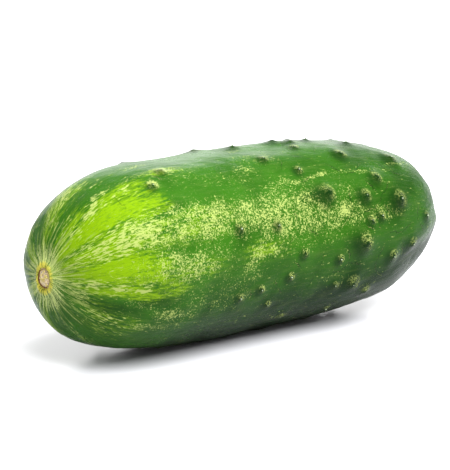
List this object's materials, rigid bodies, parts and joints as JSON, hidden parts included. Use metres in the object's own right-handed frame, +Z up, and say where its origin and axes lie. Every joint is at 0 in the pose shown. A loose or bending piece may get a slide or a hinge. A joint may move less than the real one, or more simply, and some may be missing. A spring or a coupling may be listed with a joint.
{
  "type": "cucumber",
  "caption": "Whole short field cucumber lying on its side, slightly bowed, with a warty skin and a corky blossom scar.",
  "frame": {"origin": "under the middle of the fruit's bounding box, on the surface that it rests on", "axes": "+X runs along the fruit from the blossom end to the stem end, +Z is up, and the fruit bows towards +Y"},
  "size_m": [0.1254, 0.0492, 0.0485],
  "materials": {
    "cucumber_skin": "fresh cucumber skin with a thin wax bloom: satin green with pale speckled bands and a lime blossom end"
  },
  "bodies": {
    "root": {"cucumber": "cucumber_skin"}
  },
  "joints": []
}
